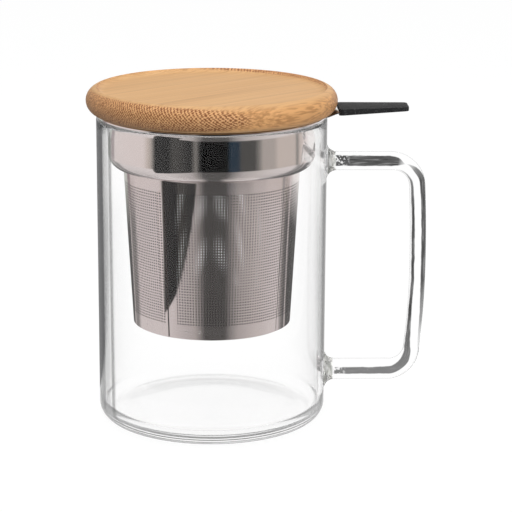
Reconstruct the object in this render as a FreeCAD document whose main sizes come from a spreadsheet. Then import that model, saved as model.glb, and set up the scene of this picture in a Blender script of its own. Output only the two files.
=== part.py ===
"""Lidded glass tea mug with a steel infuser and a laminated bamboo lid.

The frame has its origin at the centre of the glass base, on the table, with +Z up.
The handle and the infuser's tab point along +X. Lengths are in millimetres.
"""
import FreeCAD, Part
import math
import os
import re
import Sketcher
from FreeCAD import Placement, Rotation, Vector

# Driving sizes. Everything else is a sum of these.
SIZES = {
    # blown glass cup
    "mug_radius": 42.5,
    "mug_height": 114.25,
    "glass_wall": 2.0,
    "base_thickness": 3.6,
    "outer_corner": 5.5,
    "inner_corner": 5.0,
    # glass rod handle
    "rod_radius": 3.4,
    "finger_gap": 30.9,
    "top_arm_drop": 16.55,
    "bottom_arm_height": 16.8,
    "bend_radius": 9.0,
    "weld_flare": 3.2,
    "fused_depth": 0.2,
    # infuser collar, drawn from sheet
    "steel_sheet": 0.5,
    "collar_gap": 2.3,
    "seat_gap": 0.05,
    "flange_inset": 0.5,
    "flange_thickness": 1.3,
    "flare_radius": 2.4,
    "shoulder_radius": 5.4,
    "shoulder_height": 96.0,
    "neck_height": 4.0,
    # basket, rolled from thinner sheet round a pressed dish
    "mesh_sheet": 0.4,
    "nest_gap": 0.05,
    "shoulder_turn": 5.5,
    "basket_bottom_radius": 29.4,
    "basket_floor": 36.6,
    "dish_lip": 4.0,
    "dish_corner": 1.0,
    "wall_lift": 0.6,
    # tab and its silicone grip
    "tab_thickness": 0.6,
    "tab_root_width": 14.0,
    "tab_end_width": 8.0,
    "tab_weld": 0.3,
    "tab_root_inset": 2.0,
    "tab_bend_inset": 0.2,
    "tab_bend_rise": 1.5,
    "tab_end_rise": 2.4,
    "tab_in_grip": 19.6,
    "grip_gap": 0.2,
    "grip_length": 25.8,
    "grip_root_width": 16.0,
    "grip_tip_width": 11.0,
    "grip_root_thickness": 2.35,
    "grip_tip_thickness": 1.4,
    "grip_root_rise": 1.85,
    "grip_tip_rise": 2.7,
    "grip_corner": 0.6,
    # bamboo lid, turned from a board of glued slats
    "lid_gap": 0.05,
    "lid_overhang": 3.7,
    "lid_thickness": 9.7,
    "crest_inset": 3.9,
    "cove_width": 3.1,
    "recess_depth": 1.5,
    "spigot_gap": 2.1,
    "spigot_height": 6.0,
    "groove_depth": 1.4,
    "groove_height": 3.0,
    "grain_angle": 42.0,
    "slat_count": 14,
    "groove_joint_inset": 1.2,
    # silicone seal ring in the lid's groove
    "seal_gap": 0.3,
    "rib_radius": 0.6,
}

os.makedirs("parts", exist_ok=True)
doc = FreeCAD.newDocument("tea_mug")
sheet = doc.addObject("Spreadsheet::Sheet", "Sizes")
for row, (alias, number) in enumerate(SIZES.items(), start=1):
    sheet.set(f"A{row}", alias)
    sheet.set(f"B{row}", str(number))
    sheet.setAlias(f"B{row}", alias)
doc.recompute()

# Places that several pieces share, as sums of the driving sizes.
INNER_RADIUS = "(mug_radius - glass_wall)"
TOP_ARM_HEIGHT = "(mug_height - top_arm_drop)"
UPRIGHT_X = "(mug_radius + finger_gap + rod_radius)"
COLLAR_RADIUS = f"({INNER_RADIUS} - collar_gap)"
COLLAR_BORE = f"({COLLAR_RADIUS} - steel_sheet)"
FLANGE_BOTTOM = "(mug_height + seat_gap)"
FLANGE_TOP = f"({FLANGE_BOTTOM} + flange_thickness)"
FLANGE_MIDDLE = f"({FLANGE_BOTTOM} + flange_thickness / 2)"
FLANGE_RADIUS = "(mug_radius - flange_inset)"
BASKET_TOP_RADIUS = f"({COLLAR_RADIUS} - shoulder_turn)"
WALL_TOP = "(shoulder_height - nest_gap)"
WALL_BOTTOM = "(basket_floor + wall_lift)"
TAPER = f"(({BASKET_TOP_RADIUS} - basket_bottom_radius) / ({WALL_TOP} - {WALL_BOTTOM}))"
LID_RADIUS = "(mug_radius + lid_overhang)"
LID_BOTTOM = f"({FLANGE_TOP} + lid_gap)"
LID_TOP = f"({LID_BOTTOM} + lid_thickness)"
SPIGOT_RADIUS = f"({COLLAR_BORE} - spigot_gap)"
GROOVE_RADIUS = f"({SPIGOT_RADIUS} - groove_depth)"
GROOVE_BOTTOM = f"({LID_BOTTOM} - (spigot_height + groove_height) / 2)"
GROOVE_TOP = f"({GROOVE_BOTTOM} + groove_height)"
TAB_BEND_X = f"({LID_RADIUS} - tab_bend_inset)"
GRIP_START_X = f"({LID_RADIUS} + grip_gap)"
GRIP_END_X = f"({GRIP_START_X} + grip_length)"
TAB_END_X = f"({GRIP_START_X} + tab_in_grip)"
TAB_SLOPE = f"((tab_end_rise - tab_bend_rise) / ({TAB_END_X} - {TAB_BEND_X}))"


def tied(words):
    """The expression that reads the sum's sizes from the sheet."""
    return re.sub(r"[a-z]+(_[a-z]+)+", lambda found: "Sizes." + found[0], words)


def amount(words):
    """The number that the sum comes to now."""
    return float(sheet.evalExpression(tied(words)))


def plane(body, role):
    """One of the body's own origin planes."""
    return next(item for item in body.Origin.OriginFeatures if item.Role == role)


def new_sketch(body, name, role, offset=None):
    """A sketch on one of the body's origin planes, moved along its normal by offset."""
    sketch = body.newObject("Sketcher::SketchObject", name)
    sketch.AttachmentSupport = [(plane(body, role), "")]
    sketch.MapMode = "FlatFace"
    if offset is not None:
        sketch.setExpression("AttachmentOffset.Base.z", tied(offset))
    return sketch


def hold(sketch, kind, edge, end, words):
    """Ties one coordinate of a point to a sum; kind is X or Y."""
    number = amount(words)
    if abs(number) < 1e-9:
        axis = -2 if kind == "X" else -1
        sketch.addConstraint(Sketcher.Constraint("PointOnObject", edge, end, axis))
    elif number > 0:
        spot = sketch.addConstraint(Sketcher.Constraint("Distance" + kind, -1, 1, edge, end, number))
        sketch.setExpression(f"Constraints[{spot}]", tied(words))
    else:
        spot = sketch.addConstraint(Sketcher.Constraint("Distance" + kind, edge, end, -1, 1, -number))
        sketch.setExpression(f"Constraints[{spot}]", tied(f"-({words})"))


def outline(sketch, steps, closed=True):
    """Draws corners (x, y) joined by lines, or by an arc where ("arc", x, y) gives its centre."""
    corners = []
    centres = {}
    for step in steps:
        if step[0] == "arc":
            centres[len(corners) - 1] = step[1:]
        else:
            corners.append(step)
    count = len(corners)
    spots = [Vector(amount(x), amount(y), 0) for x, y in corners]
    runs = count if closed else count - 1
    first = sketch.GeometryCount
    ends = []
    for run in range(runs):
        start = spots[run]
        stop = spots[(run + 1) % count]
        if run not in centres:
            sketch.addGeometry(Part.LineSegment(start, stop), False)
            ends.append((1, 2))
            continue
        x, y = centres[run]
        centre = Vector(amount(x), amount(y), 0)
        radius = (start - centre).Length
        from_angle = math.atan2(start.y - centre.y, start.x - centre.x)
        to_angle = math.atan2(stop.y - centre.y, stop.x - centre.x)
        turn = (to_angle - from_angle) % (2 * math.pi)
        circle = Part.Circle(centre, Vector(0, 0, 1), radius)
        if turn <= math.pi + 1e-6:
            sketch.addGeometry(Part.ArcOfCircle(circle, from_angle, to_angle), False)
            ends.append((1, 2))
        else:
            sketch.addGeometry(Part.ArcOfCircle(circle, to_angle, from_angle), False)
            ends.append((2, 1))
        chord = stop - start
        steeper = abs(chord.y) > abs(chord.x)
        hold(sketch, "X" if steeper else "Y", first + run, 3, x if steeper else y)
    for run in range(runs):
        after = (run + 1) % runs
        if closed or run + 1 < runs:
            stop = ends[run][1]
            start = ends[after][0]
            sketch.addConstraint(Sketcher.Constraint("Coincident", first + run, stop, first + after, start))
    for run in range(runs):
        x, y = corners[run]
        hold(sketch, "X", first + run, ends[run][0], x)
        hold(sketch, "Y", first + run, ends[run][0], y)
    if not closed:
        x, y = corners[-1]
        hold(sketch, "X", first + runs - 1, ends[-1][1], x)
        hold(sketch, "Y", first + runs - 1, ends[-1][1], y)


def new_body(name):
    """An empty body whose label names its file."""
    body = doc.addObject("PartDesign::Body", name)
    body.Label = name
    return body


def revolve(body, name, steps):
    """Turns an outline in the XZ plane, as (radius, height), about the Z axis."""
    sketch = new_sketch(body, name + "_outline", "XZ_Plane")
    outline(sketch, steps)
    turned = body.newObject("PartDesign::Revolution", name)
    turned.Profile = sketch
    turned.ReferenceAxis = (sketch, ["V_Axis"])
    turned.Angle = 360
    return turned


# Glass cup: one blown wall with a rounded foot and a fire-polished rim.
mug_body = new_body("mug_body")
rim_centre_z = "mug_height - glass_wall / 2"
floor_edge = f"{INNER_RADIUS} - inner_corner"
revolve(mug_body, "cup_glass", [
    ("0", "0"),
    ("mug_radius - outer_corner", "0"),
    ("arc", "mug_radius - outer_corner", "outer_corner"),
    ("mug_radius", "outer_corner"),
    ("mug_radius", rim_centre_z),
    ("arc", "mug_radius - glass_wall / 2", rim_centre_z),
    (INNER_RADIUS, rim_centre_z),
    (INNER_RADIUS, "base_thickness + inner_corner"),
    ("arc", floor_edge, "base_thickness + inner_corner"),
    (floor_edge, "base_thickness"),
    ("0", "base_thickness"),
])

# Handle: one bent glass rod, its two ends flared where they are fused to the wall.
mug_handle = new_body("mug_handle")
rod_start = "mug_radius - glass_wall"
bend_x = f"{UPRIGHT_X} - bend_radius"
rod_route = new_sketch(mug_handle, "rod_route", "XZ_Plane")
outline(rod_route, [
    (rod_start, TOP_ARM_HEIGHT),
    (bend_x, TOP_ARM_HEIGHT),
    ("arc", bend_x, f"{TOP_ARM_HEIGHT} - bend_radius"),
    (UPRIGHT_X, f"{TOP_ARM_HEIGHT} - bend_radius"),
    (UPRIGHT_X, "bottom_arm_height + bend_radius"),
    ("arc", bend_x, "bottom_arm_height + bend_radius"),
    (bend_x, "bottom_arm_height"),
    (rod_start, "bottom_arm_height"),
], closed=False)
rod_section = new_sketch(mug_handle, "rod_section", "YZ_Plane", offset=rod_start)
rod_circle = Part.Circle(Vector(0, amount(TOP_ARM_HEIGHT), 0), Vector(0, 0, 1), amount("rod_radius"))
rod_section.addGeometry(rod_circle, False)
hold(rod_section, "X", 0, 3, "0")
hold(rod_section, "Y", 0, 3, TOP_ARM_HEIGHT)
rod_size = rod_section.addConstraint(Sketcher.Constraint("Radius", 0, amount("rod_radius")))
rod_section.setExpression(f"Constraints[{rod_size}]", tied("rod_radius"))
rod = mug_handle.newObject("PartDesign::AdditivePipe", "rod")
rod.Profile = rod_section
rod.Spine = (rod_route, ["Edge" + str(number) for number in range(1, 6)])
for end, height in (("top", TOP_ARM_HEIGHT), ("bottom", "bottom_arm_height")):
    flare_outline = new_sketch(mug_handle, end + "_flare_outline", "XZ_Plane")
    flare_x = "mug_radius + weld_flare"
    flare_top = f"{height} + rod_radius + weld_flare"
    outline(flare_outline, [
        (rod_start, height),
        (rod_start, flare_top),
        ("mug_radius", flare_top),
        ("arc", flare_x, flare_top),
        (flare_x, f"{height} + rod_radius"),
        (flare_x, height),
    ])
    arm_line = flare_outline.addGeometry(flare_outline.Geometry[-1].copy(), True)
    flare_outline.addConstraint(Sketcher.Constraint("Coincident", arm_line, 1, arm_line - 1, 1))
    flare_outline.addConstraint(Sketcher.Constraint("Coincident", arm_line, 2, arm_line - 1, 2))
    flare = mug_handle.newObject("PartDesign::Revolution", end + "_flare")
    flare.Profile = flare_outline
    flare.ReferenceAxis = (flare_outline, ["Axis0"])
    flare.Angle = 360
wall_circle = new_sketch(mug_handle, "wall_circle", "XY_Plane")
wall_radius = "mug_radius - fused_depth"
wall_circle.addGeometry(Part.Circle(Vector(0, 0, 0), Vector(0, 0, 1), amount(wall_radius)), False)
wall_circle.addConstraint(Sketcher.Constraint("Coincident", 0, 3, -1, 1))
wall_size = wall_circle.addConstraint(Sketcher.Constraint("Radius", 0, amount(wall_radius)))
wall_circle.setExpression(f"Constraints[{wall_size}]", tied(wall_radius))
wall_cut = mug_handle.newObject("PartDesign::Pocket", "wall_cut")
wall_cut.Profile = wall_circle
wall_cut.Type = "ThroughAll"
wall_cut.Midplane = True

# Infuser collar: a drawn cup with a flared, hemmed flange on the glass rim and a turned-in shoulder.
infuser_collar = new_body("infuser_collar")
neck_top_radius = f"({BASKET_TOP_RADIUS} - mesh_sheet - nest_gap)"
neck_drop = f"{TAPER} * neck_height"
flare_centre_x = f"{COLLAR_RADIUS} + flare_radius"
flare_centre_z = f"{FLANGE_BOTTOM} - flare_radius"
hem_x = f"{FLANGE_RADIUS} - flange_thickness / 2"
shoulder_x = f"{COLLAR_RADIUS} - shoulder_radius"
shoulder_z = "shoulder_height + shoulder_radius"
revolve(infuser_collar, "collar_sheet", [
    (f"{neck_top_radius} - steel_sheet", "shoulder_height"),
    (shoulder_x, "shoulder_height"),
    ("arc", shoulder_x, shoulder_z),
    (COLLAR_RADIUS, shoulder_z),
    (COLLAR_RADIUS, flare_centre_z),
    ("arc", flare_centre_x, flare_centre_z),
    (flare_centre_x, FLANGE_BOTTOM),
    (hem_x, FLANGE_BOTTOM),
    ("arc", hem_x, FLANGE_MIDDLE),
    (hem_x, FLANGE_TOP),
    (flare_centre_x, FLANGE_TOP),
    (flare_centre_x, f"{FLANGE_BOTTOM} + steel_sheet"),
    ("arc", flare_centre_x, flare_centre_z),
    (COLLAR_BORE, flare_centre_z),
    (COLLAR_BORE, shoulder_z),
    ("arc", shoulder_x, shoulder_z),
    (shoulder_x, "shoulder_height + steel_sheet"),
    (f"{neck_top_radius} - steel_sheet", "shoulder_height + steel_sheet"),
])
revolve(infuser_collar, "collar_neck", [
    (neck_top_radius, "shoulder_height + steel_sheet / 2"),
    (f"{neck_top_radius} - steel_sheet", "shoulder_height + steel_sheet / 2"),
    (f"{neck_top_radius} - steel_sheet - {neck_drop}", "shoulder_height - neck_height"),
    (f"{neck_top_radius} - {neck_drop}", "shoulder_height - neck_height"),
])

# Basket wall: thin sheet rolled to a cone; its fine holes are a surface finish here.
infuser_wall = new_body("infuser_wall")
revolve(infuser_wall, "wall_sheet", [
    (BASKET_TOP_RADIUS, WALL_TOP),
    (f"{BASKET_TOP_RADIUS} - mesh_sheet", WALL_TOP),
    ("basket_bottom_radius - mesh_sheet", WALL_BOTTOM),
    ("basket_bottom_radius", WALL_BOTTOM),
])

# Basket dish: a pressed disc whose lip is spot-welded inside the wall.
infuser_base = new_body("infuser_base")
lip_bottom = "(basket_floor + dish_corner)"
lip_radius = f"(basket_bottom_radius - mesh_sheet - nest_gap + {TAPER} * ({lip_bottom} - {WALL_BOTTOM}))"
lip_rise = "(dish_lip - dish_corner)"
revolve(infuser_base, "dish_sheet", [
    ("0", "basket_floor"),
    (f"{lip_radius} - dish_corner", "basket_floor"),
    ("arc", f"{lip_radius} - dish_corner", lip_bottom),
    (lip_radius, lip_bottom),
    (f"{lip_radius} + {TAPER} * {lip_rise}", "basket_floor + dish_lip"),
    (f"{lip_radius} + {TAPER} * {lip_rise} - mesh_sheet", "basket_floor + dish_lip"),
    (f"{lip_radius} - mesh_sheet", lip_bottom),
    ("arc", f"{lip_radius} - dish_corner", lip_bottom),
    (f"{lip_radius} - dish_corner", "basket_floor + mesh_sheet"),
    ("0", "basket_floor + mesh_sheet"),
])

# Tab: a steel strip welded to the flange's edge, cranked up past the lid into the grip.
infuser_tab = new_body("infuser_tab")
root_z = FLANGE_MIDDLE
bend_z = f"{FLANGE_MIDDLE} + tab_bend_rise"
end_z = f"{FLANGE_MIDDLE} + tab_end_rise"
root_x = f"{FLANGE_RADIUS} - tab_root_inset"
side_outline = new_sketch(infuser_tab, "tab_side", "XZ_Plane")
outline(side_outline, [
    (root_x, f"{root_z} - tab_thickness / 2"),
    (FLANGE_RADIUS, f"{root_z} - tab_thickness / 2"),
    (TAB_BEND_X, f"{bend_z} - tab_thickness / 2"),
    (TAB_END_X, f"{end_z} - tab_thickness / 2"),
    (TAB_END_X, f"{end_z} + tab_thickness / 2"),
    (TAB_BEND_X, f"{bend_z} + tab_thickness / 2"),
    (FLANGE_RADIUS, f"{root_z} + tab_thickness / 2"),
    (root_x, f"{root_z} + tab_thickness / 2"),
])
strip = infuser_tab.newObject("PartDesign::Pad", "tab_strip")
strip.Profile = side_outline
strip.Midplane = True
strip.setExpression("Length", tied("tab_root_width"))
for side, sign in (("front", "-"), ("back", "")):
    taper_outline = new_sketch(infuser_tab, side + "_taper_outline", "XY_Plane")
    outline(taper_outline, [
        (TAB_BEND_X, f"{sign}(tab_root_width / 2)"),
        (TAB_END_X, f"{sign}(tab_end_width / 2)"),
        (f"{TAB_END_X} + tab_thickness", f"{sign}(tab_end_width / 2)"),
        (f"{TAB_END_X} + tab_thickness", f"{sign}(tab_root_width)"),
        (TAB_BEND_X, f"{sign}(tab_root_width)"),
    ])
    taper_cut = infuser_tab.newObject("PartDesign::Pocket", side + "_taper")
    taper_cut.Profile = taper_outline
    taper_cut.Type = "ThroughAll"
    taper_cut.Midplane = True
flange_circle = new_sketch(infuser_tab, "flange_circle", "XY_Plane")
weld_radius = f"{FLANGE_RADIUS} - tab_weld"
flange_circle.addGeometry(Part.Circle(Vector(0, 0, 0), Vector(0, 0, 1), amount(weld_radius)), False)
flange_circle.addConstraint(Sketcher.Constraint("Coincident", 0, 3, -1, 1))
flange_size = flange_circle.addConstraint(Sketcher.Constraint("Radius", 0, amount(weld_radius)))
flange_circle.setExpression(f"Constraints[{flange_size}]", tied(weld_radius))
flange_cut = infuser_tab.newObject("PartDesign::Pocket", "flange_cut")
flange_cut.Profile = flange_circle
flange_cut.Type = "ThroughAll"
flange_cut.Midplane = True

# Grip: a tapered silicone sleeve pushed over the tab's straight end.
grip_sleeve = new_body("grip_sleeve")


def rounded_section(name, offset, width, thickness, height):
    """A rounded rectangle across the tab, at one distance along it."""
    section = new_sketch(grip_sleeve, name, "YZ_Plane", offset=offset)
    side = f"({width} / 2)"
    low = f"({height} - {thickness} / 2)"
    high = f"({height} + {thickness} / 2)"
    outline(section, [
        (f"-{side} + grip_corner", low),
        (f"{side} - grip_corner", low),
        ("arc", f"{side} - grip_corner", f"{low} + grip_corner"),
        (side, f"{low} + grip_corner"),
        (side, f"{high} - grip_corner"),
        ("arc", f"{side} - grip_corner", f"{high} - grip_corner"),
        (f"{side} - grip_corner", high),
        (f"-{side} + grip_corner", high),
        ("arc", f"-{side} + grip_corner", f"{high} - grip_corner"),
        (f"-{side}", f"{high} - grip_corner"),
        (f"-{side}", f"{low} + grip_corner"),
        ("arc", f"-{side} + grip_corner", f"{low} + grip_corner"),
    ])
    return section


def slot_section(name, offset, width, height):
    """The tab's own section with room round it."""
    section = new_sketch(grip_sleeve, name, "YZ_Plane", offset=offset)
    side = f"({width} / 2 + nest_gap)"
    low = f"{height} - tab_thickness / 2 - nest_gap"
    high = f"{height} + tab_thickness / 2 + nest_gap"
    outline(section, [(f"-{side}", low), (side, low), (side, high), (f"-{side}", high)])
    return section


sleeve = grip_sleeve.newObject("PartDesign::AdditiveLoft", "sleeve")
sleeve.Profile = rounded_section(
    "grip_root", GRIP_START_X, "grip_root_width", "grip_root_thickness", f"{FLANGE_MIDDLE} + grip_root_rise")
sleeve.Sections = [rounded_section(
    "grip_tip", GRIP_END_X, "grip_tip_width", "grip_tip_thickness", f"{FLANGE_MIDDLE} + grip_tip_rise")]
sleeve.Ruled = True
slot = grip_sleeve.newObject("PartDesign::SubtractiveLoft", "slot")
slot.Profile = slot_section("slot_mouth", TAB_BEND_X, "tab_root_width", bend_z)
slot_end_x = f"{TAB_END_X} + nest_gap"
slot.Sections = [slot_section("slot_end", slot_end_x, "tab_end_width", end_z)]
slot.Ruled = True

# Lid blank: a disc with a full-round edge, a coved tray on top and a grooved spigot below.
lid_blank = new_body("lid_blank")
edge_radius = "(lid_thickness / 2)"
edge_x = f"({LID_RADIUS} - {edge_radius})"
edge_z = f"({LID_BOTTOM} + {edge_radius})"
crest_x = f"({LID_RADIUS} - crest_inset)"
crest_z = f"({edge_z} + sqrt({edge_radius} ^ 2 - ({crest_x} - {edge_x}) ^ 2))"
tray_x = f"({crest_x} - cove_width)"
tray_z = f"({LID_TOP} - recess_depth)"
cove_radius = f"((cove_width ^ 2 + ({crest_z} - {tray_z}) ^ 2) / (2 * ({crest_z} - {tray_z})))"
spigot_bottom = f"({LID_BOTTOM} - spigot_height)"
revolve(lid_blank, "turned_board", [
    ("0", spigot_bottom),
    (SPIGOT_RADIUS, spigot_bottom),
    (SPIGOT_RADIUS, GROOVE_BOTTOM),
    (GROOVE_RADIUS, GROOVE_BOTTOM),
    (GROOVE_RADIUS, GROOVE_TOP),
    (SPIGOT_RADIUS, GROOVE_TOP),
    (SPIGOT_RADIUS, LID_BOTTOM),
    (edge_x, LID_BOTTOM),
    ("arc", edge_x, edge_z),
    (LID_RADIUS, edge_z),
    ("arc", edge_x, edge_z),
    (crest_x, crest_z),
    ("arc", tray_x, f"{tray_z} + {cove_radius}"),
    (tray_x, tray_z),
    ("0", tray_z),
])

# Slats: the board is glued from upright strips, so each one is a slice of the blank along the grain.
# The second joint from each side falls just inside the seal's groove, and the outer strips run on
# to the lid's edge.
slat_count = int(SIZES["slat_count"])
slat_width = f"(2 * ({GROOVE_RADIUS} - groove_joint_inset) / (slat_count - 4))"
along = f"(-{LID_RADIUS})"
slats = []
for number in range(slat_count):
    name = f"lid_slat_{number + 1:02d}"
    strip_box = doc.addObject("Part::Box", name + "_strip")
    side_start = f"({slat_width} * ({number} - slat_count / 2))"
    strip_width = slat_width
    if number in (0, slat_count - 1):
        strip_width = f"({LID_RADIUS} - {slat_width} * (slat_count / 2 - 1))"
    if number == 0:
        side_start = f"(-{LID_RADIUS})"
    strip_box.setExpression("Length", tied(f"2 * {LID_RADIUS}"))
    strip_box.setExpression("Width", tied(strip_width))
    strip_box.setExpression("Height", tied("lid_thickness + spigot_height"))
    strip_box.Placement = Placement(Vector(0, 0, 0), Rotation(Vector(0, 0, 1), 1))
    strip_box.setExpression("Placement.Rotation.Angle", tied("grain_angle"))
    strip_box.setExpression(
        "Placement.Base.x", tied(f"{along} * cos(grain_angle) - {side_start} * sin(grain_angle)"))
    strip_box.setExpression(
        "Placement.Base.y", tied(f"{along} * sin(grain_angle) + {side_start} * cos(grain_angle)"))
    strip_box.setExpression("Placement.Base.z", tied(spigot_bottom))
    slat = doc.addObject("Part::Common", name)
    slat.Label = name
    slat.Base = lid_blank
    slat.Tool = strip_box
    slats.append(slat)

# Seal: a silicone ring in the groove with two soft ribs facing the collar.
lid_seal = new_body("lid_seal")
seal_bottom = f"({GROOVE_BOTTOM} + nest_gap)"
seal_top = f"({GROOVE_TOP} - nest_gap)"
rib_root = f"({COLLAR_BORE} - seal_gap - rib_radius)"
low_rib = f"({seal_bottom} + rib_radius)"
high_rib = f"({seal_top} - rib_radius)"
revolve(lid_seal, "seal_ring", [
    (f"{GROOVE_RADIUS} + nest_gap", seal_bottom),
    (rib_root, seal_bottom),
    ("arc", rib_root, low_rib),
    (rib_root, f"{low_rib} + rib_radius"),
    (rib_root, f"{high_rib} - rib_radius"),
    ("arc", rib_root, high_rib),
    (rib_root, seal_top),
    (f"{GROOVE_RADIUS} + nest_gap", seal_top),
])

doc.recompute()

pieces = [mug_body, mug_handle, infuser_collar, infuser_wall, infuser_base, infuser_tab, grip_sleeve]
pieces += slats
pieces.append(lid_seal)

for item in doc.Objects:
    if "Invalid" in item.State or "Error" in item.State:
        raise RuntimeError(f"{item.Label} failed: {item.State}")
for piece in pieces:
    shape = piece.Shape
    if shape.isNull() or not shape.isValid() or len(shape.Solids) != 1:
        raise RuntimeError(f"{piece.Label} is not one valid solid")
for before, after in ((flare, wall_cut), (strip, taper_cut), (taper_cut, flange_cut), (sleeve, slot)):
    if not after.Shape.Volume < before.Shape.Volume - 1:
        raise RuntimeError(f"{after.Label} cut nothing")

for piece in pieces:
    piece.Shape.exportStep(f"parts/{piece.Label}.step")
    print(piece.Label, round(piece.Shape.Volume, 2))
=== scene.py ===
"""A lidded glass tea mug with its steel infuser and bamboo lid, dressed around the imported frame.

All places are in metres in the frame of the part: the mug stands on the floor at the origin,
+Z is up, and the handle and the infuser's tab point along +X.
"""
import math

import bpy
from mathutils import Matrix, Vector


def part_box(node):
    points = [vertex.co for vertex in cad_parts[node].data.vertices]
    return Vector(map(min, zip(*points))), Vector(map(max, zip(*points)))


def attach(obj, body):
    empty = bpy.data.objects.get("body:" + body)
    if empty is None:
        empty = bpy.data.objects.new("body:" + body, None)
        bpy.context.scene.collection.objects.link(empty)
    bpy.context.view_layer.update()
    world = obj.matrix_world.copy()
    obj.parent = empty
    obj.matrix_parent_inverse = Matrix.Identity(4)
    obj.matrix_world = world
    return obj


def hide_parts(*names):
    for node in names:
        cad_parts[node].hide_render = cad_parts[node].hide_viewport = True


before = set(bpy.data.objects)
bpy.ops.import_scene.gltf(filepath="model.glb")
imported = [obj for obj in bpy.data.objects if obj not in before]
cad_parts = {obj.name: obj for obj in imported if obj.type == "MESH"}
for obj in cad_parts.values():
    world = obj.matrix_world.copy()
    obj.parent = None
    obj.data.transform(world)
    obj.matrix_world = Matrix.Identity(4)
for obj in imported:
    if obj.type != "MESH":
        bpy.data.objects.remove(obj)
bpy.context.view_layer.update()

MM = 0.001

# Camera. It stands three quarters of a metre from the mug, a little to the left of its middle,
# and looks down on the lid as the photograph does.
photo_width = 512
focal_length_pixels = 2037
camera_pitch = math.radians(14.34)
camera_yaw = math.radians(1.59)
camera_roll = math.radians(0.31)
camera_place = (-4.0, -738.8, 249.9)
camera_data = bpy.data.cameras.new("camera")
camera_data.sensor_width = 36
camera_data.lens = camera_data.sensor_width * focal_length_pixels / photo_width
camera_data.clip_start = 10 * MM
camera = bpy.data.objects.new("camera", camera_data)
bpy.context.scene.collection.objects.link(camera)
camera.matrix_world = (
    Matrix.Translation(Vector(camera_place) * MM)
    @ Matrix.Rotation(-camera_yaw, 4, "Z")
    @ Matrix.Rotation(math.pi / 2 - camera_pitch, 4, "X")
    @ Matrix.Rotation(camera_roll, 4, "Z")
)
bpy.context.scene.camera = camera
bpy.context.scene.view_settings.view_transform = "Standard"

# Studio. The camera, and all that is seen through clear glass, looks onto plain white. The metal
# mirrors the room itself: pale panels at the sides, a dark end behind the camera and a table by the
# mug. The glass mirrors plain greys, so that its edges stay dark against the white.
sweep_radius = 1.6
mug_middle = (0, 0, 0.07)
table_reach = 0.29
table_fade = 0.10
paper_edge_x = -0.139
paper_edge_slant = 0.125
panel_pale = (0.73, 0.655, 0.64)
panel_warm = (0.56, 0.49, 0.45)
panel_dim = (0.41, 0.37, 0.345)
panel_grey = (0.20, 0.19, 0.178)
panel_green = (0.54, 0.56, 0.52)
panel_brown = (0.30, 0.24, 0.245)
panel_bright = (0.95, 0.93, 0.92)
room_black = (0.001, 0.001, 0.001)
room_dark = (0.030, 0.030, 0.030)
room_grey = (0.070, 0.068, 0.065)
room_blue = (0.018, 0.033, 0.052)
table_pale = (0.72, 0.67, 0.665)
table_light = (0.62, 0.575, 0.56)
table_mid = (0.46, 0.43, 0.42)
table_dim = (0.28, 0.265, 0.26)
table_grey = (0.095, 0.092, 0.090)
edge_dark = (0.34, 0.34, 0.345)
edge_mid = (0.72, 0.72, 0.72)
edge_white = (0.95, 0.95, 0.95)
side_slope = 0.6
under_mug_radius = 0.055
corner_bearing = math.radians(64.5)


def add_node(tree, kind, **inputs):
    """A new node, with its input sockets set by name."""
    node = tree.nodes.new("ShaderNode" + kind)
    for name, value in inputs.items():
        node.inputs[name.replace("_", " ")].default_value = value
    return node


def feed(tree, socket, value):
    """Gives an input a number or colour, or links it to another node's output."""
    if isinstance(value, bpy.types.NodeSocket):
        tree.links.new(value, socket)
    elif value is not None:
        socket.default_value = value


def maths(tree, operation, first, second=None, third=None):
    """What a Math node makes of its inputs, which are numbers or sockets."""
    node = tree.nodes.new("ShaderNodeMath")
    node.operation = operation
    for socket, value in zip(node.inputs, (first, second, third)):
        feed(tree, socket, value)
    return node.outputs[0]


def times(tree, first, second):
    """The product of two numbers or sockets."""
    return maths(tree, "MULTIPLY", first, second)


def scaled(tree, value, factor, added):
    """A number or socket times a factor, plus another."""
    return maths(tree, "MULTIPLY_ADD", value, factor, added)


def vector_maths(tree, operation, first, second=None):
    """What a Vector Math node makes of a vector and another vector or a number."""
    node = tree.nodes.new("ShaderNodeVectorMath")
    node.operation = operation
    feed(tree, node.inputs[0], first)
    feed(tree, node.inputs["Scale" if operation == "SCALE" else 1], second)
    return node.outputs["Value" if operation in ("LENGTH", "DOT_PRODUCT") else "Vector"]


def split_xyz(tree, vector):
    """The X, Y and Z sockets of a vector."""
    node = add_node(tree, "SeparateXYZ")
    feed(tree, node.inputs[0], vector)
    return node.outputs


def mixed(tree, share, first, second):
    """A mix of two colours."""
    node = tree.nodes.new("ShaderNodeMix")
    node.data_type = "RGBA"
    feed(tree, node.inputs[0], share)
    for socket, value in ((node.inputs[6], first), (node.inputs[7], second)):
        feed(tree, socket, (*value, 1) if isinstance(value, tuple) and len(value) == 3 else value)
    return node.outputs[2]


def ramp(tree, share, stops):
    """A colour ramp through (place, colour) stops; a plain number is a grey."""
    node = tree.nodes.new("ShaderNodeValToRGB")
    feed(tree, node.inputs[0], share)
    elements = node.color_ramp.elements
    elements.remove(elements[1])
    for place, colour in stops:
        element = elements.new(place)
        element.color = (colour, colour, colour, 1) if isinstance(colour, (int, float)) else (*colour, 1)
    elements.remove(elements[0])
    return node.outputs["Color"]


def new_group(name, inputs, outputs):
    """An empty node group with its sockets, and its entry and exit nodes."""
    group = bpy.data.node_groups.new(name, "ShaderNodeTree")
    for socket_name, kind, value in inputs:
        socket = group.interface.new_socket(socket_name, in_out="INPUT", socket_type="NodeSocket" + kind)
        if value is not None:
            socket.default_value = value
    for socket_name, kind in outputs:
        group.interface.new_socket(socket_name, in_out="OUTPUT", socket_type="NodeSocket" + kind)
    return group, group.nodes.new("NodeGroupInput"), group.nodes.new("NodeGroupOutput")


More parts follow.
